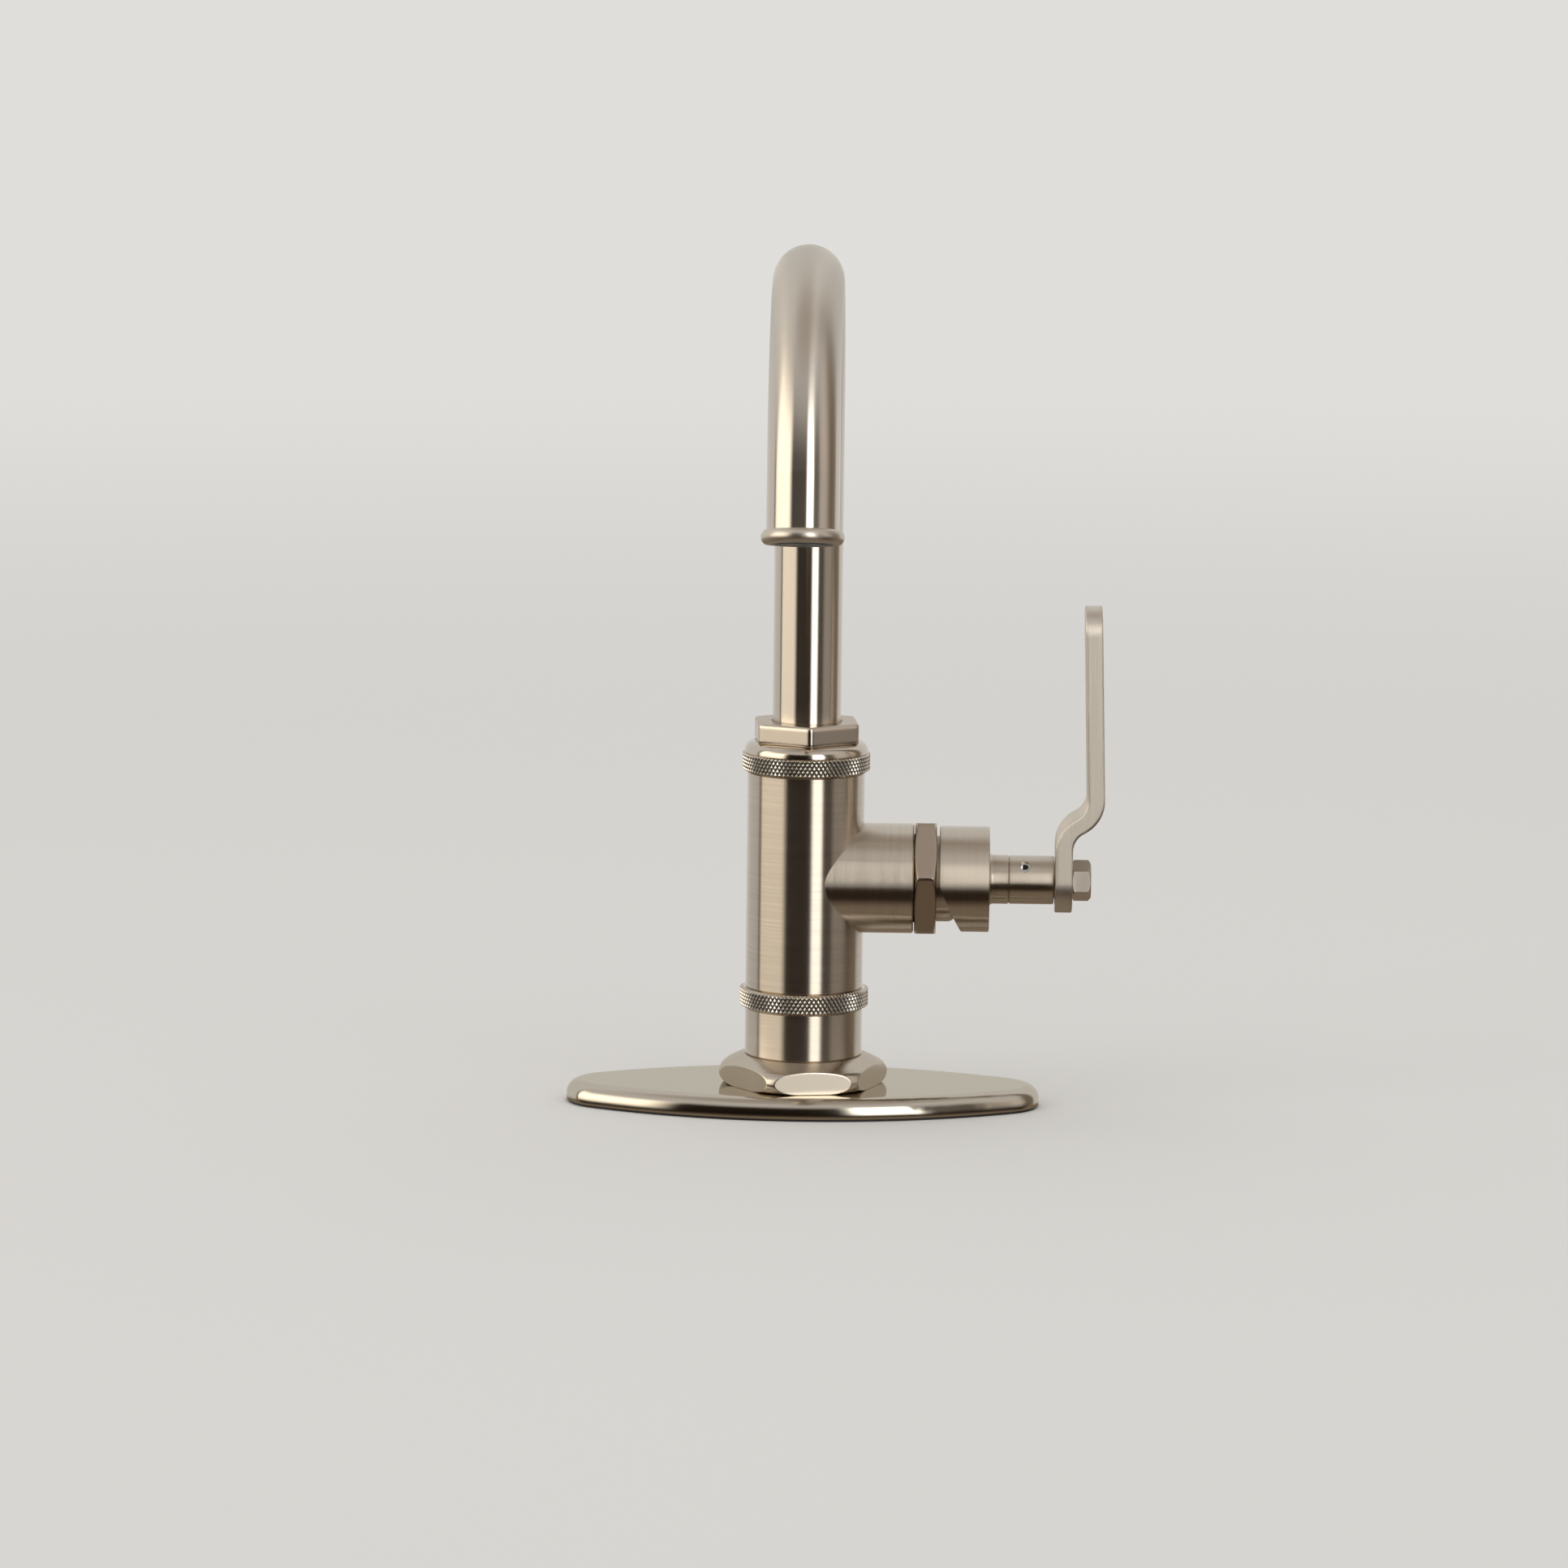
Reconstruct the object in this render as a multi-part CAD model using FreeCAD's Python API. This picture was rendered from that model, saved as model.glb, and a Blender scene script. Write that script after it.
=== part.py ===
import FreeCAD, Part
import os
from math import cos, radians, sin, sqrt, tan

# Gooseneck bar faucet with a side lever, in millimetres.
# The origin is on the body's axis, on the deck under the gasket. +Z is up, the lever is
# on the +X side and the spout points towards -Y.

V = FreeCAD.Vector
UP = V(0, 0, 1)

# ---- gaps between pieces
slip_gap = 0.05
running_gap = 0.07
hole_gap = 0.4
seat_gap = 0.02

# ---- how far a cutting form runs past what it cuts, or one form into the next that it joins
spare = 1.0

# ---- deck gasket and deck plate
gasket_thickness = 0.8
gasket_inset = 0.7
plate_length = 152.2
plate_depth = 64.0
plate_end_radius = 16.0
plate_height = 6.3
plate_rim_round = 4.4
plate_wall = 2.6
plate_boss_radius = 23.0

# ---- column: hex flange, foot, knurled rings, valve body, spout nut
flange_across_flats = 48.2
flange_height = 9.5
flange_face_radius = 19.2
flange_dome_bulge = 0.12
flange_shoulder_radius = 24.9
flange_shoulder_rise = 6.85
flange_rim_radius = 27.1
flange_rim_rise = 3.5
flange_foot_radius = 24.5
flange_turn = 8.5
column_radius = 18.8
foot_height = 15.45
column_edge = 0.5
lower_ring_radius = 20.6
lower_ring_height = 6.3
body_height = 70.05
body_spigot_radius = 16.0
body_spigot_length = 15.8
upper_ring_radius = 20.4
upper_ring_band = 6.1
upper_ring_shoulder = 3.5
upper_ring_shoulder_radius = 19.8
upper_ring_round = 3.2
ring_edge = 0.35
spout_nut_across_flats = 32.2
spout_nut_height = 6.5
spout_nut_corner = 2.0
spout_nut_top_round = 0.95
spout_nut_low_round = 0.45
spout_nut_skirt = 9.2
spout_nut_skirt_radius = 13.5
spout_nut_turn = -85.0
spout_nut_bore_gap = 0.3
neck_radius = 15.5
neck_height = 5.9

# ---- shank and what clamps it under the deck
shank_length = 58.0
shank_end_chamfer = 1.0
shank_bore = 12.8
nipple_radius = 14.1
nipple_length = 9.8
clamp_depth = 25.0
rubber_washer_radius = 25.0
rubber_washer_thickness = 3.0
steel_washer_radius = 25.5
steel_washer_thickness = 2.0
mounting_nut_across_flats = 42.0
mounting_nut_height = 10.0
mounting_nut_chamfer = 1.6
mounting_nut_face_inset = 0.5
mounting_nut_corner = 0.8

# ---- supply inlets and waterways in the valve body
inlet_radius = 4.5
inlet_depth = 12.0
inlet_offset = 6.5
supply_radius = 2.8
supply_port_radius = 1.5
supply_port_side = 3.85
supply_port_rise = 3.5
outlet_port_radius = 2.2
outlet_port_drop = 2.2
outlet_riser_radius = 2.5
outlet_well_radius = 6.0
outlet_well_depth = 8.0

# ---- spout
tube_radius = 11.0
tube_wall = 1.2
arch_radius = 65.0
spout_top = 281.2
outlet_tilt = 10.7
drop_length = 19.0
fitting_radius = 12.93
fitting_length = 17.6
fitting_bore = 9.2
tube_socket = 8.6
o_ring_section = 2.2
o_ring_land = 1.0
o_ring_spacing = 4.2
bushing_thickness = 1.9
outlet_bead_radius = 12.6
outlet_bead_height = 4.3
outlet_bead_edge = 0.35
aerator_radius = 9.3
aerator_length = 10.0
insert_radius = 7.75
insert_thickness = 3.2
insert_stand_out = 0.25
insert_hole_radius = 1.25
screen_thickness = 0.8
aerator_washer_thickness = 1.6
aerator_washer_overlap = 0.7

# ---- side boss, cartridge and its nut, measured along +X
handle_rise = 35.45
boss_radius = 17.65
boss_reach = 34.8
nut_standoff = 0.3
cartridge_nut_across_flats = 35.3
cartridge_nut_height = 6.95
cartridge_nut_chamfer = 0.9
cartridge_nut_face_inset = 0.3
cartridge_nut_corner = 1.1
cartridge_nut_turn = 21.2
cartridge_nut_skirt = 6.9
cartridge_nut_skirt_radius = 14.2
cartridge_nut_lip = 2.5
pivot_stand_off = 1.25
housing_radius = 12.5
housing_shoulder = 1.95
housing_neck_radius = 11.2
housing_neck_end = 2.7
cavity_radius = 11.0
rotor_radius = 8.6
rotor_flange_radius = 10.8
rotor_flange_thickness = 1.8
rotor_standoff = 0.2
rotor_end = 3.7
rotor_slot_width = 5.2
rotor_slot_height = 13.6
rail_height = 2.3
rail_width = 2.0
spindle_arm = 10.0
ball_radius = 2.1
arm_radius = 1.75
carrier_radius = 7.0
carrier_disc_thickness = 1.2
carrier_block_width = 8.9
carrier_block_length = 11.0
carrier_height = 3.8
disc_thickness = 3.0
fixed_disc_radius = 10.9
pocket_depth = 1.5
pocket_radius = 3.3
pocket_tail_radius = 2.4
pocket_tail_reach = 3.9
cartridge_base_thickness = 4.0
seal_thickness = 1.8
seal_squeeze = 0.6
seal_width = 1.3
sleeve_radius = 13.75
sleeve_length = 6.55
sleeve_wall = 1.2
sleeve_round = 3.0
sleeve_mouth_radius = 7.4

# ---- handle
tilt_range = 22.0
tilt_margin = 1.5
cap_radius = 16.95
cap_length = 16.0
cap_wall = 1.4
cap_roof = 4.0
cap_back = 0.3
cap_edge = 0.3
hub_neck_radius = 7.85
hub_neck_length = 6.2
hub_neck_fillet = 1.2
post_radius = 7.8
post_length = 14.4
post_edge = 0.35
post_nose_radius = 6.0
post_nose_length = 0.4
spindle_radius = 4.0
spindle_blade = 5.0
spindle_blade_radius = 4.8
spindle_reach = 31.4
pin_radius = 1.5
set_screw_radius = 2.0
set_screw_along = 5.1
set_screw_depth = 0.6
set_screw_socket = 2.5
set_screw_angle = 40.0
lever_thickness = 5.5
lever_foot_radius = 10.4
lever_tip_radius = 8.6
lever_height = 88.6
lever_offset = 9.9
lever_bend_start = 10.9
lever_bend_radius = 9.0
lever_bend_angle = 60.0
lever_lean = 1.6
lever_edge = 0.5
lever_hole_gap = 0.1
bolt_radius = 3.0
bolt_length = 9.3
bolt_head_across_flats = 11.55
bolt_head_height = 6.0
bolt_head_chamfers = (0.6, 0.9)
bolt_head_face_inset = 0.2
bolt_head_corner = 0.4
bolt_head_turn = -3.6

# ---- levels up the column
plate_top = gasket_thickness + plate_height
flange_top = plate_top + flange_height
foot_top = flange_top + foot_height
body_bottom = foot_top + lower_ring_height
body_top = body_bottom + body_height
spigot_bottom = body_bottom - body_spigot_length
recess_top = spigot_bottom + nipple_length + hole_gap
ring_top = body_top + upper_ring_band + upper_ring_shoulder
spout_nut_top = ring_top + spout_nut_height
spout_nut_skirt_bottom = ring_top - spout_nut_skirt
neck_top = body_top + neck_height
fitting_top = spout_nut_skirt_bottom - bushing_thickness - 2 * slip_gap
fitting_bottom = fitting_top - fitting_length
socket_floor = fitting_bottom - hole_gap
handle_axis = body_bottom + handle_rise

# ---- places along the handle's axis
nut_back = boss_reach + nut_standoff
nut_face = nut_back + cartridge_nut_height
pivot = nut_face + pivot_stand_off
ball_place = pivot - spindle_arm
carrier_top = ball_place + ball_radius / 2
carrier_bottom = carrier_top - carrier_height
fixed_disc_top = carrier_bottom - disc_thickness
base_top = fixed_disc_top - disc_thickness
base_bottom = base_top - cartridge_base_thickness
chamber_floor = base_bottom - seal_squeeze
rotor_flange_bottom = carrier_top + rotor_standoff
rotor_flange_top = rotor_flange_bottom + rotor_flange_thickness
shoulder = nut_back + housing_shoulder
sleeve_end = nut_face + sleeve_length
cap_start = pivot - cap_back
cap_face = cap_start + cap_length
post_start = cap_face + hub_neck_length
post_end = post_start + post_length
lever_back = post_end + post_nose_length
lever_front = lever_back + lever_thickness
shank_radius = body_spigot_radius


def disc(radius, low, high):
    """A round bar along Z."""
    return Part.makeCylinder(radius, high - low, V(0, 0, low), UP)


def ring(outer, inner, low, high):
    """A round bar along Z with a hole through it."""
    return disc(outer, low, high).cut(disc(inner, low, high))


def turned(points):
    """A turned solid from (radius, height) points, closed along the axis."""
    outline = [V(radius, 0, height) for radius, height in points]
    face = Part.Face(Part.makePolygon(outline + outline[:1]))
    return face.revolve(V(0, 0, 0), UP, 360)


def hexagon(across_flats, low, high, turn):
    """A plain hexagonal bar along Z, one corner at the angle turn from +X."""
    corner = across_flats / 2 / cos(radians(30))
    points = []
    for side in range(7):
        angle = radians(turn + 60 * side)
        points.append(V(corner * cos(angle), corner * sin(angle), low))
    return Part.Face(Part.makePolygon(points)).extrude(V(0, 0, high - low))


def rounded_hexagon(across_flats, corner_round, low, high, turn):
    """A hexagonal bar along Z with its six upright edges rounded."""
    block = hexagon(across_flats, low, high, turn)
    upright = [edge for edge in block.Edges if edge.BoundBox.ZLength > (high - low) / 2]
    return block.makeFillet(corner_round, upright)


def chamfered_hexagon(across_flats, corner_round, low, high, face_radius, drops, turn):
    """A rounded hexagonal bar, its ends turned down to face_radius by the two chamfers' drops."""
    corner = (across_flats / 2 - corner_round) / cos(radians(30)) + corner_round
    slope_low = drops[0] / (corner - face_radius)
    slope_high = drops[1] / (corner - face_radius)
    reach = corner + spare
    barrel = turned(
        [
            (0, low),
            (face_radius, low),
            (reach, low + slope_low * (reach - face_radius)),
            (reach, high - slope_high * (reach - face_radius)),
            (face_radius, high),
            (0, high),
        ]
    )
    return rounded_hexagon(across_flats, corner_round, low, high, turn).common(barrel)


def edges_at(shape, level, radius=None):
    """The whole edges that lie at one height, and at one radius where it is given."""
    found = []
    for edge in shape.Edges:
        box = edge.BoundBox
        if abs(box.ZMin - level) > 1e-4 or abs(box.ZMax - level) > 1e-4:
            continue
        if radius is None or abs(box.XMax - radius) < 1e-3:
            found.append(edge)
    return found


def on_handle_axis(shape):
    """Moves a piece built along Z onto the handle's axis, its +Z turned to +X and its +X to -Z."""
    turned_shape = shape.copy()
    turned_shape.rotate(V(0, 0, 0), V(0, 1, 0), 90)
    turned_shape.translate(V(0, 0, handle_axis))
    return turned_shape


def at_outlet(shape):
    """Moves a piece built along Z to the mouth of the spout, its +Z running up into the tube."""
    moved = shape.copy()
    moved.rotate(V(0, 0, 0), V(1, 0, 0), -outlet_tilt)
    moved.translate(outlet_centre())
    return moved


def plate_outline(inset, level):
    """The oval of the deck plate: two end arcs and two long, gently bowed side arcs."""
    end = plate_end_radius - inset
    half_length = plate_length / 2 - inset
    half_depth = plate_depth / 2 - inset
    centre = half_length - end
    side = (centre**2 + half_depth**2 - end**2) / (2 * (half_depth - end))
    drop = side - half_depth
    reach = sqrt(centre**2 + drop**2)
    joint_x = centre + end * centre / reach
    joint_y = end * drop / reach
    arcs = []
    for sign in (1, -1):
        arcs.append(
            Part.Arc(
                V(sign * joint_x, -sign * joint_y, level),
                V(sign * half_length, 0, level),
                V(sign * joint_x, sign * joint_y, level),
            ).toShape()
        )
        arcs.append(
            Part.Arc(
                V(sign * joint_x, sign * joint_y, level),
                V(0, sign * half_depth, level),
                V(-sign * joint_x, sign * joint_y, level),
            ).toShape()
        )
    return Part.Face(Part.Wire(arcs))


def outlet_centre():
    """The middle of the bead round the spout's mouth."""
    arch_centre = spout_top - tube_radius - arch_radius
    tilt = radians(outlet_tilt)
    reach = arch_radius * (1 + cos(tilt)) + drop_length * sin(tilt)
    height = arch_centre + arch_radius * sin(tilt) - drop_length * cos(tilt)
    return V(0, -reach, height)


def deck_gasket():
    sheet = plate_outline(gasket_inset, 0).extrude(V(0, 0, gasket_thickness))
    return sheet.cut(disc(shank_radius + hole_gap, 0, gasket_thickness))


def deck_plate():
    low = gasket_thickness
    shell = plate_outline(0, low).extrude(V(0, 0, plate_height))
    shell = shell.makeFillet(plate_rim_round, edges_at(shell, plate_top))
    hollow_height = plate_height - plate_wall
    hollow = plate_outline(plate_wall + plate_rim_round / 2, low).extrude(V(0, 0, hollow_height))
    hollow = hollow.cut(disc(plate_boss_radius, low, low + hollow_height))
    return shell.cut(hollow).cut(disc(shank_radius + hole_gap, low, plate_top))


def base_hex_flange():
    """A turned barrel with a low dome and a bulging rim, milled to six flats."""
    foot = V(flange_foot_radius, 0, plate_top)
    widest = V(flange_rim_radius, 0, plate_top + flange_rim_rise)
    shoulder_edge = V(flange_shoulder_radius, 0, plate_top + flange_shoulder_rise)
    face_edge = V(flange_face_radius, 0, flange_top)
    chord = face_edge - shoulder_edge
    outward = V(chord.z, 0, -chord.x) / chord.Length
    dome = (shoulder_edge + face_edge) / 2 + outward * flange_dome_bulge
    profile = [
        Part.LineSegment(V(0, 0, plate_top), foot).toShape(),
        Part.Arc(foot, widest, shoulder_edge).toShape(),
        Part.Arc(shoulder_edge, dome, face_edge).toShape(),
        Part.LineSegment(face_edge, V(0, 0, flange_top)).toShape(),
        Part.LineSegment(V(0, 0, flange_top), V(0, 0, plate_top)).toShape(),
    ]
    barrel = Part.Face(Part.Wire(profile)).revolve(V(0, 0, 0), UP, 360)
    block = hexagon(flange_across_flats, plate_top, flange_top, flange_turn).common(barrel)
    return block.cut(disc(shank_radius + hole_gap / 2, plate_top, flange_top))


def body_foot():
    outer = disc(column_radius, flange_top, foot_top)
    outer = outer.makeChamfer(column_edge, edges_at(outer, flange_top) + edges_at(outer, foot_top))
    return outer.cut(disc(body_spigot_radius + slip_gap, flange_top, foot_top))


def lower_knurled_ring():
    outer = disc(lower_ring_radius, foot_top, body_bottom)
    outer = outer.makeChamfer(ring_edge, edges_at(outer, foot_top) + edges_at(outer, body_bottom))
    return outer.cut(disc(body_spigot_radius + slip_gap, foot_top, body_bottom))


def upper_knurled_ring():
    """The band and the rounded shoulder above it, which the spout nut sits on."""
    low = body_top + seat_gap
    band_top = body_top + upper_ring_band
    band = disc(upper_ring_radius, low, band_top)
    band = band.makeChamfer(ring_edge, edges_at(band, low) + edges_at(band, band_top))
    crown = disc(upper_ring_shoulder_radius, low, ring_top)
    outer = band.fuse(crown.makeFillet(upper_ring_round, edges_at(crown, ring_top)))
    outer = outer.cut(disc(neck_radius + slip_gap, low, neck_top + slip_gap))
    return outer.cut(disc(spout_nut_skirt_radius + slip_gap, low, ring_top))


def ports():
    """The place and radius of each port, as built along Z: two supplies above, the outlet below."""
    found = [(V(outlet_port_drop, 0, 0), outlet_port_radius)]
    for side in (1, -1):
        found.append((V(-supply_port_rise, side * supply_port_side, 0), supply_port_radius))
    return found


def waterways():
    """The drilled passages: two supplies rising to the cartridge and one outlet to the spout."""
    supply_top = handle_axis + supply_port_rise + supply_port_radius
    riser_bottom = handle_axis - outlet_port_drop - outlet_port_radius
    well_bottom = socket_floor - outlet_well_depth
    cuts = [
        disc(outlet_riser_radius, riser_bottom, well_bottom),
        disc(outlet_well_radius, well_bottom, socket_floor),
    ]
    for side in (1, -1):
        across = V(0, side * inlet_offset, 0)
        cuts.append(disc(inlet_radius, recess_top, recess_top + inlet_depth).translated(across))
        cuts.append(disc(supply_radius, recess_top, supply_top).translated(across))
    for place, radius in ports():
        cuts.append(on_handle_axis(disc(radius, 0, chamber_floor).translated(place)))
    return cuts


def valve_body():
    column = disc(column_radius, body_bottom, body_top)
    column = column.makeChamfer(column_edge, edges_at(column, body_bottom) + edges_at(column, body_top))
    boss = disc(boss_radius, 0, boss_reach)
    boss = boss.makeChamfer(column_edge, edges_at(boss, boss_reach))
    solid = column.fuse(on_handle_axis(boss))
    solid = solid.fuse(disc(body_spigot_radius, spigot_bottom, body_bottom + column_edge))
    solid = solid.fuse(disc(neck_radius, body_top - column_edge, neck_top)).removeSplitter()
    thread_bottom = spout_nut_skirt_bottom - bushing_thickness / 2
    cuts = [
        disc(nipple_radius + slip_gap, spigot_bottom, recess_top),
        disc(fitting_radius + running_gap, socket_floor, thread_bottom),
        disc(spout_nut_skirt_radius + slip_gap, thread_bottom, neck_top),
        on_handle_axis(disc(housing_radius + slip_gap, chamber_floor, boss_reach)),
        on_handle_axis(
            disc(
                cartridge_nut_skirt_radius + slip_gap,
                nut_back - cartridge_nut_skirt - hole_gap,
                boss_reach,
            )
        ),
    ]
    for cut in cuts + waterways():
        solid = solid.cut(cut)
    return solid


def spout_nut():
    block = rounded_hexagon(
        spout_nut_across_flats,
        spout_nut_corner,
        ring_top,
        spout_nut_top,
        spout_nut_turn,
    )
    block = block.makeFillet(spout_nut_top_round, edges_at(block, spout_nut_top))
    block = block.makeFillet(spout_nut_low_round, edges_at(block, ring_top))
    skirt = disc(spout_nut_skirt_radius, spout_nut_skirt_bottom, ring_top)
    bore = disc(tube_radius + spout_nut_bore_gap, spout_nut_skirt_bottom, spout_nut_top)
    return block.fuse(skirt).cut(bore)


def spout_bushing():
    low = fitting_top + slip_gap
    return ring(fitting_radius - slip_gap, tube_radius + running_gap, low, low + bushing_thickness)


def mounting_shank():
    outer = disc(shank_radius, -shank_length, spigot_bottom)
    outer = outer.makeChamfer(shank_end_chamfer, edges_at(outer, -shank_length))
    nipple = disc(nipple_radius, spigot_bottom, spigot_bottom + nipple_length)
    bore = disc(shank_bore, -shank_length, spigot_bottom + nipple_length)
    return outer.fuse(nipple).cut(bore)


def shank_rubber_washer():
    top = -clamp_depth
    return ring(rubber_washer_radius, shank_radius + hole_gap, top - rubber_washer_thickness, top)


def shank_steel_washer():
    top = -clamp_depth - rubber_washer_thickness
    return ring(steel_washer_radius, shank_radius + hole_gap, top - steel_washer_thickness, top)


def mounting_nut():
    top = -clamp_depth - rubber_washer_thickness - steel_washer_thickness
    low = top - mounting_nut_height
    block = chamfered_hexagon(
        mounting_nut_across_flats,
        mounting_nut_corner,
        low,
        top,
        mounting_nut_across_flats / 2 - mounting_nut_face_inset,
        (mounting_nut_chamfer, mounting_nut_chamfer),
        0,
    )
    return block.cut(disc(shank_radius + slip_gap, low, top))


def spout_path():
    """The tube's centre line: up from the fitting, over the arch and down to the outlet."""
    arch_centre = spout_top - tube_radius - arch_radius
    tilt = radians(outlet_tilt)
    foot = V(0, 0, fitting_top - tube_socket)
    arch_start = V(0, 0, arch_centre)
    arch_middle = V(0, -arch_radius, arch_centre + arch_radius)
    arch_end = V(0, -arch_radius * (1 + cos(tilt)), arch_centre + arch_radius * sin(tilt))
    riser = Part.LineSegment(foot, arch_start).toShape()
    arch = Part.Arc(arch_start, arch_middle, arch_end).toShape()
    drop = Part.LineSegment(arch_end, outlet_centre()).toShape()
    return Part.Wire([riser, arch, drop])


def spout_tube():
    foot = V(0, 0, fitting_top - tube_socket)
    path = spout_path()
    outer = path.makePipe(Part.Face(Part.Wire(Part.Circle(foot, UP, tube_radius).toShape())))
    inner = path.makePipe(Part.Face(Part.Wire(Part.Circle(foot, UP, tube_radius - tube_wall).toShape())))
    return outer.cut(inner)


def groove_levels():
    """The low side of each sealing ring's groove in the spout's end fitting."""
    first = fitting_bottom + o_ring_land
    return [first, first + o_ring_spacing]


def spout_end_fitting():
    socket_bottom = fitting_top - tube_socket
    solid = disc(fitting_radius, fitting_bottom, fitting_top)
    solid = solid.cut(disc(fitting_bore, fitting_bottom, fitting_top))
    solid = solid.cut(disc(tube_radius + seat_gap, socket_bottom, fitting_top))
    for low in groove_levels():
        high = low + o_ring_section + 2 * slip_gap
        solid = solid.cut(ring(fitting_radius + spare, fitting_radius - o_ring_section, low, high))
    return solid


def spout_o_rings():
    rings = []
    for low in groove_levels():
        inner = fitting_radius - o_ring_section + slip_gap
        outer = fitting_radius + slip_gap / 2
        rings.append(ring(outer, inner, low + slip_gap, low + slip_gap + o_ring_section))
    return Part.makeCompound(rings)


def outlet_ring():
    """The bead round the mouth: it holds the tube's end and leaves a threaded lip for the aerator."""
    half = outlet_bead_height / 2
    edge = tube_radius + outlet_bead_edge
    lip = aerator_radius + slip_gap
    socket = tube_radius + seat_gap
    low = V(edge, 0, -half)
    high = V(edge, 0, half)
    corners = [high, V(socket, 0, half), V(socket, 0, 0), V(lip, 0, 0), V(lip, 0, -half), low]
    edges = [Part.Arc(low, V(outlet_bead_radius, 0, 0), high).toShape()]
    for start, end in zip(corners[:-1], corners[1:]):
        edges.append(Part.LineSegment(start, end).toShape())
    return at_outlet(Part.Face(Part.Wire(edges)).revolve(V(0, 0, 0), UP, 360))


def aerator_housing():
    low = -outlet_bead_height / 2
    return at_outlet(ring(aerator_radius, insert_radius + slip_gap, low, low + aerator_length))


def aerator_insert():
    low = -outlet_bead_height / 2 - insert_stand_out
    return at_outlet(ring(insert_radius, insert_hole_radius, low, low + insert_thickness))


def aerator_screen():
    low = -outlet_bead_height / 2 - insert_stand_out + insert_thickness + seat_gap
    return at_outlet(disc(insert_radius, low, low + screen_thickness))


def aerator_washer():
    low = -outlet_bead_height / 2 + aerator_length + seat_gap
    inner = insert_radius - aerator_washer_overlap
    return at_outlet(ring(aerator_radius, inner, low, low + aerator_washer_thickness))


def cartridge_base():
    solid = disc(housing_radius, base_bottom, base_top)
    recess_floor = base_bottom + seal_thickness - seal_squeeze
    for place, radius in ports():
        port = disc(radius, base_bottom, base_top)
        recess = disc(radius + seal_width + slip_gap, base_bottom, recess_floor)
        solid = solid.cut(port.translated(place)).cut(recess.translated(place))
    return on_handle_axis(solid)


def cartridge_seals():
    seals = []
    for place, radius in ports():
        seal = ring(radius + seal_width, radius + slip_gap, chamber_floor, chamber_floor + seal_thickness)
        seals.append(seal.translated(place))
    return on_handle_axis(Part.makeCompound(seals))


def fixed_ceramic_disc():
    solid = disc(fixed_disc_radius, base_top, fixed_disc_top - seat_gap)
    for place, radius in ports():
        solid = solid.cut(disc(radius, base_top, fixed_disc_top).translated(place))
    return on_handle_axis(solid)


def moving_ceramic_disc():
    """The sliding disc. Its pocket stays over the outlet port, and slid up it reaches the supplies."""
    solid = disc(carrier_radius, fixed_disc_top, carrier_bottom - seat_gap)
    pocket_floor = fixed_disc_top + pocket_depth
    tail_end = disc(pocket_tail_radius, fixed_disc_top, pocket_floor)
    tail = Part.makeBox(
        pocket_tail_reach,
        2 * pocket_tail_radius,
        pocket_depth,
        V(0, -pocket_tail_radius, fixed_disc_top),
    )
    pocket = disc(pocket_radius, fixed_disc_top, pocket_floor).fuse(tail)
    pocket = pocket.fuse(tail_end.translated(V(pocket_tail_reach, 0, 0)))
    return on_handle_axis(solid.cut(pocket))


def disc_carrier():
    """The carrier behind the moving disc: its block slides between the rotor's rails."""
    base = disc(carrier_radius, carrier_bottom, carrier_bottom + carrier_disc_thickness)
    block = Part.makeBox(
        carrier_block_length,
        carrier_block_width,
        carrier_height,
        V(-carrier_block_length / 2, -carrier_block_width / 2, carrier_bottom),
    )
    socket = disc(ball_radius + running_gap, ball_place - ball_radius - seat_gap, carrier_top)
    return on_handle_axis(base.fuse(block).cut(socket))


def cartridge_housing():
    solid = disc(housing_radius, base_top, shoulder)
    solid = solid.fuse(disc(housing_neck_radius, shoulder, pivot + housing_neck_end))
    solid = solid.cut(disc(cavity_radius, base_top, rotor_flange_top + running_gap))
    return on_handle_axis(solid.cut(disc(rotor_radius + running_gap, base_top, pivot + housing_neck_end)))


def cartridge_rotor():
    """The turning stem: a flange with two rails, a slot for the spindle and a cross hole for its pin."""
    solid = disc(rotor_flange_radius, rotor_flange_bottom, rotor_flange_top)
    solid = solid.fuse(disc(rotor_radius, rotor_flange_top, pivot + rotor_end))
    inner = carrier_block_width / 2 + running_gap
    for side in (1, -1):
        near = inner if side > 0 else -inner - rail_width
        rail = Part.makeBox(
            carrier_block_length,
            rail_width,
            rail_height,
            V(-carrier_block_length / 2, near, rotor_flange_bottom - rail_height),
        )
        solid = solid.fuse(rail)
    slot = Part.makeBox(
        rotor_slot_height,
        rotor_slot_width,
        rotor_flange_thickness + rotor_end + pivot,
        V(-rotor_slot_height / 2, -rotor_slot_width / 2, rotor_flange_bottom),
    )
    hole = Part.makeCylinder(pin_radius + seat_gap, 2 * rotor_radius, V(0, -rotor_radius, pivot), V(0, 1, 0))
    return on_handle_axis(solid.cut(slot).cut(hole))


def spindle_pin():
    half = sqrt(rotor_radius**2 - pin_radius**2) - slip_gap
    return on_handle_axis(Part.makeCylinder(pin_radius, 2 * half, V(0, -half, pivot), V(0, 1, 0)))


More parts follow.
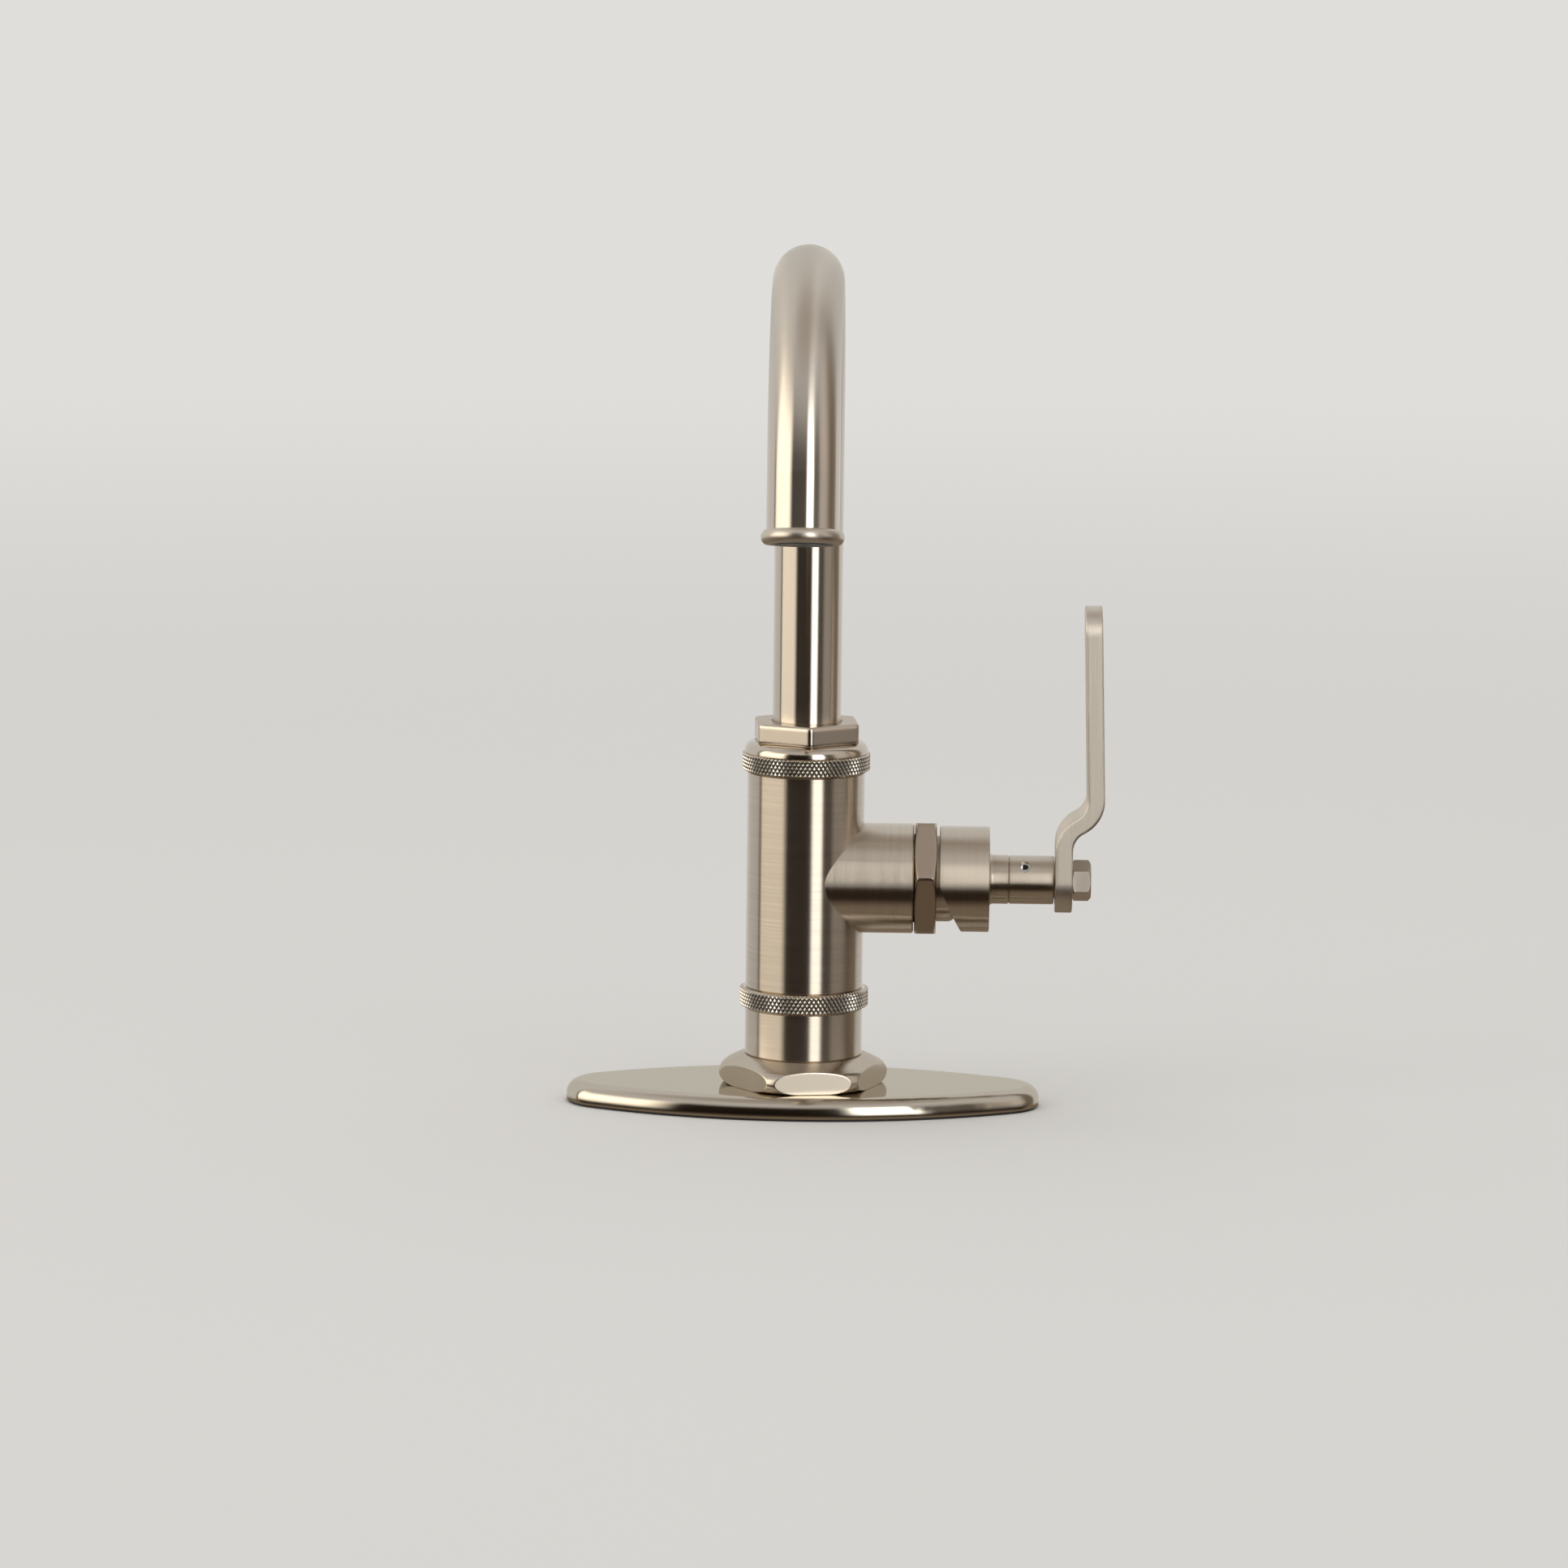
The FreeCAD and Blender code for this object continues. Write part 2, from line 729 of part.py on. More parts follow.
def lever_spindle():
    """The rocking spindle: a ball that works the discs, a flat blade on the pin and a round shank."""
    blade_low = pivot - spindle_radius
    tilt = radians(tilt_range)
    blade_high = pivot + (rotor_end + spindle_radius * sin(tilt)) / cos(tilt) + slip_gap
    solid = Part.makeSphere(ball_radius, V(0, 0, ball_place))
    solid = solid.fuse(disc(arm_radius, ball_place, blade_low + spare))
    blade = Part.makeBox(
        2 * spindle_radius,
        spindle_blade,
        blade_high - blade_low,
        V(-spindle_radius, -spindle_blade / 2, blade_low),
    )
    shaft = disc(spindle_radius, pivot, pivot + spindle_reach)
    flat = Part.makeBox(
        4 * spindle_radius,
        spindle_radius,
        blade_high - pivot,
        V(-2 * spindle_radius, spindle_blade / 2, pivot),
    )
    other_flat = flat.mirror(V(0, 0, 0), V(0, 1, 0))
    solid = solid.fuse(blade.common(disc(spindle_blade_radius, blade_low, blade_high)))
    solid = solid.fuse(shaft.cut(flat).cut(other_flat))
    start = V(0, -spindle_blade, pivot)
    hole = Part.makeCylinder(pin_radius + running_gap, 2 * spindle_blade, start, V(0, 1, 0))
    return on_handle_axis(solid.cut(hole))


def cartridge_nut():
    """The hex nut on the boss: its skirt screws in and its inner step presses on the cartridge."""
    block = chamfered_hexagon(
        cartridge_nut_across_flats,
        cartridge_nut_corner,
        nut_back,
        nut_face,
        cartridge_nut_across_flats / 2 - cartridge_nut_face_inset,
        (cartridge_nut_chamfer, cartridge_nut_chamfer),
        cartridge_nut_turn,
    )
    skirt = disc(cartridge_nut_skirt_radius, nut_back - cartridge_nut_skirt, nut_back)
    lip = disc(sleeve_radius - sleeve_wall - slip_gap, nut_face, nut_face + cartridge_nut_lip)
    solid = block.fuse(skirt).fuse(lip)
    skirt_bottom = nut_back - cartridge_nut_skirt
    solid = solid.cut(disc(housing_radius + running_gap, skirt_bottom, shoulder + slip_gap))
    mouth = disc(housing_neck_radius + hole_gap / 2, nut_back, nut_face + cartridge_nut_lip)
    return on_handle_axis(solid.cut(mouth))


def bonnet_sleeve():
    solid = disc(sleeve_radius, nut_face, sleeve_end)
    solid = solid.makeFillet(sleeve_round, edges_at(solid, sleeve_end))
    hollow = disc(sleeve_radius - sleeve_wall, nut_face, sleeve_end - sleeve_wall)
    corner = edges_at(hollow, sleeve_end - sleeve_wall)
    hollow = hollow.makeChamfer(sleeve_round - sleeve_wall, corner)
    return on_handle_axis(solid.cut(hollow).cut(disc(sleeve_mouth_radius, nut_face, sleeve_end)))


def handle_cap():
    """The tilting cap and its neck, its skirt cut away on the slant to clear the nut as it tips."""
    cap = disc(cap_radius, cap_start, cap_face)
    cap = cap.makeChamfer(cap_edge, edges_at(cap, cap_start) + edges_at(cap, cap_face))
    neck = disc(hub_neck_radius, cap_face - cap_edge, post_start)
    solid = cap.fuse(neck)
    solid = solid.makeFillet(hub_neck_fillet, edges_at(solid, cap_face, hub_neck_radius))
    solid = solid.makeChamfer(post_edge, edges_at(solid, post_start))
    solid = solid.cut(disc(cap_radius - cap_wall, cap_start, cap_face - cap_roof))
    solid = solid.cut(disc(spindle_radius + slip_gap, cap_start, post_start))
    depth = 3 * cap_radius
    wedge = Part.makePolygon(
        [
            V(0, -depth, cap_start),
            V(depth, -depth, cap_start - depth),
            V(depth, -depth, cap_start + depth * tan(radians(tilt_range + tilt_margin))),
            V(0, -depth, cap_start),
        ]
    )
    cut = Part.Face(wedge).extrude(V(0, 2 * depth, 0))
    return on_handle_axis(solid.cut(cut))


def lever_post():
    solid = disc(post_radius, post_start + seat_gap, post_end)
    ends = edges_at(solid, post_start + seat_gap) + edges_at(solid, post_end)
    solid = solid.makeChamfer(post_edge, ends)
    solid = solid.fuse(disc(post_nose_radius, post_end - post_edge, lever_back))
    solid = solid.cut(disc(spindle_radius + slip_gap, post_start, pivot + spindle_reach + hole_gap))
    solid = solid.cut(disc(bolt_radius + seat_gap, post_start, lever_back))
    return on_handle_axis(solid).cut(set_screw_bar(set_screw_radius + seat_gap, 0, 2 * post_radius))


def set_screw_bar(radius, near, far):
    """A round bar on the set screw's axis, between two distances from the handle's axis."""
    slant = radians(set_screw_angle)
    way = V(0, -cos(slant), sin(slant))
    centre = V(post_start + set_screw_along, 0, handle_axis)
    return Part.makeCylinder(radius, far - near, centre + way * near, way)


def post_set_screw():
    far = post_radius - set_screw_depth
    near = spindle_radius + seat_gap
    screw = set_screw_bar(set_screw_radius, near, far)
    slant = radians(set_screw_angle)
    socket = hexagon(set_screw_socket, (near + far) / 2, far, 0)
    socket.rotate(V(0, 0, 0), V(1, 0, 0), 90 - set_screw_angle)
    socket.translate(V(post_start + set_screw_along, 0, handle_axis))
    return screw.cut(socket)


def lever_side():
    """The lever's profile seen from the front: an upright foot, an S-bend and a leaning arm."""
    turn = radians(lever_bend_angle)
    lean = radians(lever_lean)
    radius = lever_bend_radius
    slope = (lever_offset - 2 * radius * (1 - cos(turn))) / sin(turn)
    middle_x = lever_back + lever_thickness / 2
    start_z = handle_axis + lever_bend_start
    head_x = middle_x + lever_offset
    head_z = start_z + 2 * radius * sin(turn) + slope * cos(turn)
    low = handle_axis - lever_foot_radius - spare
    top = handle_axis + lever_height + spare
    sides = []
    ends = []
    for side in (-1, 1):
        shift = side * lever_thickness / 2
        first = []
        second = []
        inner = radius - shift
        outer = radius + shift
        for share in (0, 0.5, 1):
            angle = share * turn
            first.append(V(middle_x + radius - inner * cos(angle), 0, start_z + inner * sin(angle)))
            angle = share * (turn + lean) - lean
            second.append(V(head_x - radius + outer * cos(angle), 0, head_z - outer * sin(angle)))
        ends.append(V(second[0].x - (top - second[0].z) * tan(lean), 0, top))
        edges = [
            Part.LineSegment(V(middle_x + shift, 0, low), first[0]).toShape(),
            Part.Arc(first[0], first[1], first[2]).toShape(),
            Part.LineSegment(first[2], second[2]).toShape(),
            Part.Arc(second[2], second[1], second[0]).toShape(),
            Part.LineSegment(second[0], ends[-1]).toShape(),
        ]
        sides.append(edges)
    half = lever_thickness / 2
    bottom = Part.LineSegment(V(middle_x - half, 0, low), V(middle_x + half, 0, low)).toShape()
    head = Part.LineSegment(ends[0], ends[1]).toShape()
    outline = Part.sortEdges(sides[0] + sides[1] + [bottom, head])[0]
    return Part.Face(Part.Wire(outline))


def lever_front_outline():
    """The lever seen from its broad side: a round foot tapering to a round tip."""
    foot_z = handle_axis
    tip_z = handle_axis + lever_height - lever_tip_radius
    lean = (lever_foot_radius - lever_tip_radius) / (tip_z - foot_z)
    away = sqrt(1 - lean**2)
    foot = []
    tip = []
    for side in (-1, 1):
        foot.append(V(0, side * lever_foot_radius * away, foot_z + lever_foot_radius * lean))
        tip.append(V(0, side * lever_tip_radius * away, tip_z + lever_tip_radius * lean))
    edges = [
        Part.Arc(foot[0], V(0, 0, foot_z - lever_foot_radius), foot[1]).toShape(),
        Part.LineSegment(foot[1], tip[1]).toShape(),
        Part.Arc(tip[1], V(0, 0, tip_z + lever_tip_radius), tip[0]).toShape(),
        Part.LineSegment(tip[0], foot[0]).toShape(),
    ]
    return Part.Face(Part.Wire(edges))


def lever():
    side = lever_side()
    side.translate(V(0, -lever_foot_radius - spare, 0))
    bar = side.extrude(V(0, 2 * (lever_foot_radius + spare), 0))
    outline = lever_front_outline()
    outline.translate(V(lever_back - spare, 0, 0))
    bar = bar.common(outline.extrude(V(lever_offset + lever_thickness + 2 * spare, 0, 0)))
    bar = bar.makeFillet(lever_edge, bar.Edges)
    hole = on_handle_axis(disc(bolt_radius + lever_hole_gap, lever_back, lever_front))
    return bar.cut(hole)


def lever_bolt():
    head = chamfered_hexagon(
        bolt_head_across_flats,
        bolt_head_corner,
        lever_front,
        lever_front + bolt_head_height,
        bolt_head_across_flats / 2 - bolt_head_face_inset,
        bolt_head_chamfers,
        bolt_head_turn,
    )
    shank = disc(bolt_radius, lever_front - bolt_length, lever_front)
    return on_handle_axis(head.fuse(shank))


sub_parts = {
    "deck_gasket": deck_gasket,
    "deck_plate": deck_plate,
    "base_hex_flange": base_hex_flange,
    "body_foot": body_foot,
    "lower_knurled_ring": lower_knurled_ring,
    "valve_body": valve_body,
    "upper_knurled_ring": upper_knurled_ring,
    "spout_nut": spout_nut,
    "spout_bushing": spout_bushing,
    "mounting_shank": mounting_shank,
    "shank_rubber_washer": shank_rubber_washer,
    "shank_steel_washer": shank_steel_washer,
    "mounting_nut": mounting_nut,
    "spout_tube": spout_tube,
    "spout_end_fitting": spout_end_fitting,
    "spout_o_rings": spout_o_rings,
    "outlet_ring": outlet_ring,
    "aerator_housing": aerator_housing,
    "aerator_insert": aerator_insert,
    "aerator_screen": aerator_screen,
    "aerator_washer": aerator_washer,
    "cartridge_base": cartridge_base,
    "cartridge_seals": cartridge_seals,
    "cartridge_housing": cartridge_housing,
    "fixed_ceramic_disc": fixed_ceramic_disc,
    "moving_ceramic_disc": moving_ceramic_disc,
    "disc_carrier": disc_carrier,
    "cartridge_rotor": cartridge_rotor,
    "cartridge_nut": cartridge_nut,
    "bonnet_sleeve": bonnet_sleeve,
    "spindle_pin": spindle_pin,
    "lever_spindle": lever_spindle,
    "handle_cap": handle_cap,
    "lever_post": lever_post,
    "post_set_screw": post_set_screw,
    "lever": lever,
    "lever_bolt": lever_bolt,
}

os.makedirs("parts", exist_ok=True)
for name, make in sub_parts.items():
    make().exportStep("parts/" + name + ".step")
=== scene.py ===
from math import cos, hypot, pi, radians, sin, tan

import bmesh
import bpy
from mathutils import Matrix, Vector


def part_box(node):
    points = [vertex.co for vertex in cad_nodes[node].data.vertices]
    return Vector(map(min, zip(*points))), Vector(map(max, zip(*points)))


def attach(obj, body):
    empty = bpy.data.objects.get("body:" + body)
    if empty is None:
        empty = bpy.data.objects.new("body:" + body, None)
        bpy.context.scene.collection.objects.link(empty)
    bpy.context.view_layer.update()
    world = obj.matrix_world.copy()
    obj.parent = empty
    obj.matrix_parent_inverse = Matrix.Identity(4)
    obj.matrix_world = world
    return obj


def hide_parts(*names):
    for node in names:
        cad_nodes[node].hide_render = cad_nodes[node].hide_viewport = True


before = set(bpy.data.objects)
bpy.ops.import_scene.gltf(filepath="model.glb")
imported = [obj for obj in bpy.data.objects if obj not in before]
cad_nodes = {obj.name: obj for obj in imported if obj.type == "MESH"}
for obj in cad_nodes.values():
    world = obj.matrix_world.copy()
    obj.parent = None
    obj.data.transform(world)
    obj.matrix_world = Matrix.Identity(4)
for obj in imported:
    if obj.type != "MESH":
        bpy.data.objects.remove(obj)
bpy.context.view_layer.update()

MM = 0.001

# ---------------------------------------------------------------- sizes read from the frame
body_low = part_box("valve_body")[0]
tube_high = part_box("spout_tube")[1]
post_low, post_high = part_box("lever_post")
lower_ring_low, lower_ring_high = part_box("lower_knurled_ring")
upper_ring_low, upper_ring_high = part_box("upper_knurled_ring")
shank_low, shank_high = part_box("mounting_shank")

column_radius = -body_low.x
tube_radius = tube_high.x
handle_height = (post_low.z + post_high.z) / 2

# ---------------------------------------------------------------- camera
photo_width = 1932
sensor_width = 36.0
focal_pixels = 8860
nearest_seen = 0.05
farthest_seen = 60
camera_distance = 2.3
camera_pitch = radians(8.63)
camera_azimuth = radians(1.0)
camera_roll = radians(0.63)
aim_height = 0.1038
aim_column = 993.3


def photo_camera():
    """A long lens at the photograph's viewing angle, a little above and to the right."""
    forward = Vector((
        -sin(camera_azimuth) * cos(camera_pitch),
        cos(camera_azimuth) * cos(camera_pitch),
        -sin(camera_pitch),
    ))
    level_right = forward.cross(Vector((0, 0, 1))).normalized()
    level_up = level_right.cross(forward)
    right = level_right * cos(camera_roll) + level_up * sin(camera_roll)
    up = level_up * cos(camera_roll) - level_right * sin(camera_roll)
    aside = (aim_column - photo_width / 2) / focal_pixels * camera_distance
    place = Vector((0, 0, aim_height)) - forward * camera_distance - right * aside
    data = bpy.data.cameras.new("photo_camera")
    data.sensor_width = sensor_width
    data.lens = sensor_width * focal_pixels / photo_width
    data.clip_start = nearest_seen
    data.clip_end = farthest_seen
    camera = bpy.data.objects.new("photo_camera", data)
    turn = Matrix((right, up, -forward)).transposed().to_4x4()
    camera.matrix_world = Matrix.Translation(place) @ turn
    bpy.context.scene.collection.objects.link(camera)
    bpy.context.scene.camera = camera


# ---------------------------------------------------------------- node trees
class Nodes:
    """A short way to write a node tree: each call adds one node and returns its output."""

    def __init__(self, owner):
        owner.use_nodes = True
        self.owner = owner
        self.tree = owner.node_tree
        self.tree.nodes.clear()

    def add(self, kind, settings=None, inputs=None, output=0):
        made = self.tree.nodes.new(kind)
        for name, value in (settings or {}).items():
            setattr(made, name, value)
        for name, value in (inputs or {}).items():
            self.plug(made.inputs[name], value)
        return made.outputs[output]

    def plug(self, socket, value):
        """Links an output to a socket, or sets the socket. A colour is three numbers."""
        if isinstance(value, bpy.types.NodeSocket):
            self.tree.links.new(value, socket)
        elif socket.type == "RGBA":
            socket.default_value = (*value, 1)
        else:
            socket.default_value = value

    def end(self, shader, kind="ShaderNodeOutputMaterial"):
        """Leads the shader to the output and hands back the material or world."""
        made = self.tree.nodes.new(kind)
        self.tree.links.new(shader, made.inputs["Surface"])
        return self.owner

    def math(self, operation, first, second=0.0):
        return self.add("ShaderNodeMath", {"operation": operation}, {0: first, 1: second})

    def vector(self, operation, first, second=(0, 0, 0), output=0):
        settings = {"operation": operation}
        return self.add("ShaderNodeVectorMath", settings, {0: first, 1: second}, output)

    def length(self, vector):
        return self.vector("LENGTH", vector, output=1)

    def split(self, vector):
        made = self.tree.nodes.new("ShaderNodeSeparateXYZ")
        self.tree.links.new(vector, made.inputs[0])
        return made.outputs

    def join(self, x, y, z):
        return self.add("ShaderNodeCombineXYZ", {}, {0: x, 1: y, 2: z})

    def steps(self, value, low, high, smooth=True):
        """0 at low and beyond it, 1 at high and beyond it."""
        settings = {"interpolation_type": "SMOOTHSTEP" if smooth else "LINEAR"}
        inputs = {"Value": value, "From Min": low, "From Max": high, "To Min": 0.0, "To Max": 1.0}
        return self.add("ShaderNodeMapRange", settings, inputs)

    def mix(self, factor, first, second):
        """Mixes two colours."""
        settings = {"data_type": "RGBA"}
        return self.add("ShaderNodeMix", settings, {0: factor, 6: first, 7: second}, 2)

    def mix_vectors(self, factor, first, second):
        settings = {"data_type": "VECTOR"}
        return self.add("ShaderNodeMix", settings, {0: factor, 4: first, 5: second}, 1)

    def ramp(self, value, stops):
        made = self.tree.nodes.new("ShaderNodeValToRGB")
        points = made.color_ramp.elements
        while len(points) < len(stops):
            points.new(1.0)
        for point, (place, colour) in zip(points, stops):
            point.position = place
            point.color = (*colour, 1)
        self.tree.links.new(value, made.inputs[0])
        return made.outputs[0]

    def noise(self, place, scale=1.0, detail=2.0):
        inputs = {"Vector": place, "Scale": scale, "Detail": detail}
        return self.add("ShaderNodeTexNoise", {}, inputs)

    def place(self):
        """Where a point lies on its piece, in metres."""
        return self.add("ShaderNodeTexCoord", output="Object")

    def facing(self):
        """The way the mesh faces."""
        return self.add("ShaderNodeNewGeometry", output="Normal")

    def eased(self, radius):
        """The way the mesh faces, with its edges rounded off."""
        return self.add("ShaderNodeBevel", {"samples": 8}, {"Radius": radius})

    def turned(self, direction, kind="VECTOR", back=False):
        """Turns a direction on the piece with its joint, or back to the piece at rest."""
        start, end = ("WORLD", "OBJECT") if back else ("OBJECT", "WORLD")
        settings = {"vector_type": kind, "convert_from": start, "convert_to": end}
        return self.add("ShaderNodeVectorTransform", settings, {"Vector": direction})


# ---------------------------------------------------------------- studio
backdrop_colour = (0.74, 0.73, 0.71)
seam_tone = (0.16, 0.14, 0.12)
left_softbox = (2.3, 2.1, 1.8)
dark_flag = (0.020, 0.014, 0.010)
strip_light = (4.6, 4.5, 4.3)
dim_flag = (0.15, 0.13, 0.11)
right_panel = (0.68, 0.61, 0.55)
right_shade = (0.22, 0.18, 0.14)
upper_tone = (0.66, 0.64, 0.62)
overhead_tone = (0.45, 0.40, 0.36)
low_front_tone = (0.032, 0.021, 0.014)
below_tone = (0.24, 0.19, 0.14)

# azimuth in degrees round the object, 0 towards the camera and + to the right
studio_bands = [
    (-180, backdrop_colour),
    (-104, backdrop_colour),
    (-101, seam_tone),
    (-98, seam_tone),
    (-94, left_softbox),
    (-46, left_softbox),
    (-36, dark_flag),
    (11, dark_flag),
    (16, strip_light),
    (31, strip_light),
    (36, dim_flag),
    (50, dim_flag),
    (60, right_panel),
    (78, right_panel),
    (98, right_shade),
    (118, right_shade),
    (128, backdrop_colour),
    (180, backdrop_colour),
]

# how bright the bands in front are, by elevation in degrees
studio_heights = [
    (-90, 0.0),
    (-15, 0.1),
    (-9, 0.42),
    (2, 0.95),
    (10, 1.0),
    (90, 1.0),
]

# where the bands give way to other tones: from none of the tone to all of it, in degrees
front_fade = (112, 88)
upper_fade = (24, 46)
overhead_fade = (58, 86)
low_front_fade = (-10, -18)
below_fade = (-34, -60)


def studio_world():
    """Lit and dark bands that only mirrored rays see, and a plain pale backdrop for the rest.

    Light sampling of the world is off: it would mix the backdrop into the mirrored dark bands.
    """
    world = bpy.data.worlds.new("studio")
    bpy.context.scene.world = world
    n = Nodes(world)
    world.cycles.sampling_method = "NONE"
    x, y, z = n.split(n.add("ShaderNodeTexCoord", output="Generated"))

    def by_height(fade):
        return n.steps(z, *(sin(radians(height)) for height in fade))

    azimuth = n.math("ARCTAN2", x, n.math("MULTIPLY", y, -1.0))
    turn_share = n.math("ADD", n.math("DIVIDE", azimuth, 2 * pi), 0.5)
    bands = n.ramp(turn_share, [((angle + 180) / 360, tone) for angle, tone in studio_bands])
    rise_share = n.math("ADD", n.math("DIVIDE", n.math("ARCSINE", z), pi), 0.5)
    stops = [((height + 90) / 180, (level, level, level)) for height, level in studio_heights]
    levels = n.ramp(rise_share, stops)
    front = n.steps(n.math("ABSOLUTE", azimuth), *(radians(angle) for angle in front_fade))
    bands = n.vector("MULTIPLY", bands, n.mix(front, (1, 1, 1), levels))
    room = n.mix(n.math("MULTIPLY", by_height(upper_fade), front), bands, upper_tone)
    room = n.mix(by_height(overhead_fade), room, overhead_tone)
    low = n.mix(front, below_tone, low_front_tone)
    room = n.mix(by_height(low_front_fade), room, low)
    room = n.mix(by_height(below_fade), room, below_tone)
    lit = n.add("ShaderNodeBackground", {}, {"Color": room, "Strength": 1.0})
    plain = n.add("ShaderNodeBackground", {}, {"Color": backdrop_colour, "Strength": 1.0})
    mirrored = n.add("ShaderNodeLightPath", output="Is Glossy Ray")
    n.end(n.add("ShaderNodeMixShader", {}, {0: mirrored, 1: plain, 2: lit}), "ShaderNodeOutputWorld")


# name, place, what it points at, size, power
soft_lamps = [
    ("key_left", (-1.6, -1.0, 1.1), (0, 0, 0.12), (1.2, 1.2), 3.0),
    ("fill_right", (1.5, -1.4, 0.9), (0, 0, 0.12), (0.8, 1.2), 1.5),
    ("top", (0.0, 0.1, 1.8), (0, 0, 0), (1.6, 1.6), 3.0),
]


def soft_lamp(name, place, target, size, power):
    data = bpy.data.lights.new(name, "AREA")
    data.shape = "RECTANGLE"
    data.size, data.size_y = size
    data.energy = power
    lamp = bpy.data.objects.new(name, data)
    lamp.location = place
    lamp.rotation_euler = (Vector(target) - Vector(place)).to_track_quat("-Z", "Y").to_euler()
    lamp.visible_glossy = False
    bpy.context.scene.collection.objects.link(lamp)


floor_colour = (0.80, 0.79, 0.775)
floor_size = 5.6
floor_solid = 0.55
floor_reach = 2.5


def studio_floor():
    """A pale floor that fades into the backdrop all round. Metal mirrors the studio instead."""
    bpy.ops.object.select_all(action="DESELECT")
    bpy.ops.mesh.primitive_plane_add(size=floor_size, location=(0, 0, 0))
    floor = bpy.context.object
    floor.name = "floor"
    n = Nodes(bpy.data.materials.new("pale_floor"))
    pale = n.add("ShaderNodeBsdfDiffuse", {}, {"Color": floor_colour})
    clear = n.add("ShaderNodeBsdfTransparent")
    whole = n.steps(n.length(n.place()), floor_reach, floor_solid)
    mixed = n.add("ShaderNodeMixShader", {}, {0: whole, 1: clear, 2: pale})
    floor.data.materials.append(n.end(mixed))
    floor.visible_glossy = False


# ---------------------------------------------------------------- brushed nickel
nickel = (0.62, 0.555, 0.475)
bright_nickel = (0.68, 0.62, 0.545)
lever_tone = (0.73, 0.675, 0.60)

upright = (0, 0, 1)
sideways = (1, 0, 0)
handle_centre = (0, 0, handle_height)

# streaks to the metre, across them and along them
fine_streaks = (6500.0, 60.0, 60.0)
broad_streaks = (1900.0, 25.0, 25.0)
streak_height = 0.003 * MM
streak_bump = 0.8
streak_roughness = 0.10
streak_dark = 0.14
streak_light = 0.08
streak_contrast = (0.3, 0.7)


def streaked_nickel(n, streak_place, tangent, roughness, anisotropy, colour, depth, normal=None):
    """Brushed nickel, its streaks along the second and third axes of streak_place."""
    fine = n.noise(n.vector("MULTIPLY", streak_place, fine_streaks))
    broad = n.noise(n.vector("MULTIPLY", streak_place, broad_streaks))
    both = n.math("ADD", n.math("MULTIPLY", fine, 0.5), n.math("MULTIPLY", broad, 0.5))
    spread = streak_roughness * depth
    rough = n.math("ADD", n.math("MULTIPLY", both, spread), roughness - spread / 2)
    darker = tuple(part * (1 - streak_dark * depth) for part in colour)
    lighter = tuple(min(part * (1 + streak_light * depth), 1.0) for part in colour)
    tone = n.mix(n.steps(both, *streak_contrast, False), darker, lighter)
    marks = {"Strength": streak_bump, "Distance": streak_height * depth, "Height": both}
    if normal:
        marks["Normal"] = normal
    bump = n.add("ShaderNodeBump", {}, marks)
    return n.add("ShaderNodeBsdfPrincipled", {}, {
        "Base Color": tone, "Metallic": 1.0, "Roughness": rough, "Anisotropic": anisotropy,
        "Tangent": tangent, "Normal": bump})


def across_rings(n, axis, offset, normal):
    """The direction on the surface that crosses the grooves turned round an axis."""
    rings = n.turned(n.vector("CROSS_PRODUCT", axis, offset))
    return n.vector("NORMALIZE", n.vector("CROSS_PRODUCT", rings, normal))


def turned_nickel(name, axis, centre=(0, 0, 0), roughness=0.30, anisotropy=1.0, colour=nickel,
                  depth=0.5):
    """Nickel brushed in fine rings round one axis."""
    n = Nodes(bpy.data.materials.new(name))
    offset = n.vector("SUBTRACT", n.place(), centre)
    x, y, z = n.split(offset)
    streaks = n.join(z, x, y) if axis == upright else n.join(x, y, z)
    tangent = across_rings(n, axis, offset, n.facing())
    return n.end(streaked_nickel(n, streaks, tangent, roughness, anisotropy, colour, depth))


# how far the mesh may face away from an exact direction that takes its place
true_fade = (radians(39), radians(35))
# how far outside the column's surface the side boss begins
boss_fade = (0.01 * MM, 0.03 * MM)


def true_normal(n, outwards):
    """The exact direction outwards from an axis, wherever the mesh faces nearly that way."""
    facing = n.facing()
    exact = n.vector("NORMALIZE", outwards)
    agreement = n.vector("DOT_PRODUCT", facing, exact, output=1)
    near = n.steps(agreement, *(cos(angle) for angle in true_fade))
    return n.mix_vectors(near, facing, exact)


def body_nickel():
    """The valve body is turned round its column, and round the handle's axis on the side boss."""
    n = Nodes(bpy.data.materials.new("body_nickel"))
    place = n.place()
    on_boss = n.vector("SUBTRACT", place, handle_centre)
    x, y, z = n.split(place)
    flat = n.join(x, y, 0.0)
    boss = n.steps(n.length(flat), *(column_radius + gap for gap in boss_fade))
    height = n.split(on_boss)[2]
    normal = true_normal(n, n.mix_vectors(boss, flat, n.join(0.0, y, height)))
    tangent = n.mix_vectors(boss, across_rings(n, upright, place, normal),
                            across_rings(n, sideways, on_boss, normal))
    streaks = n.mix_vectors(boss, n.join(z, x, y), n.join(x, y, z))
    return n.end(streaked_nickel(n, streaks, tangent, roughness=0.24, anisotropy=0.97,
                                 colour=nickel, depth=0.7, normal=normal))


arch_radius = 65 * MM
drop_angle = radians(10.7)


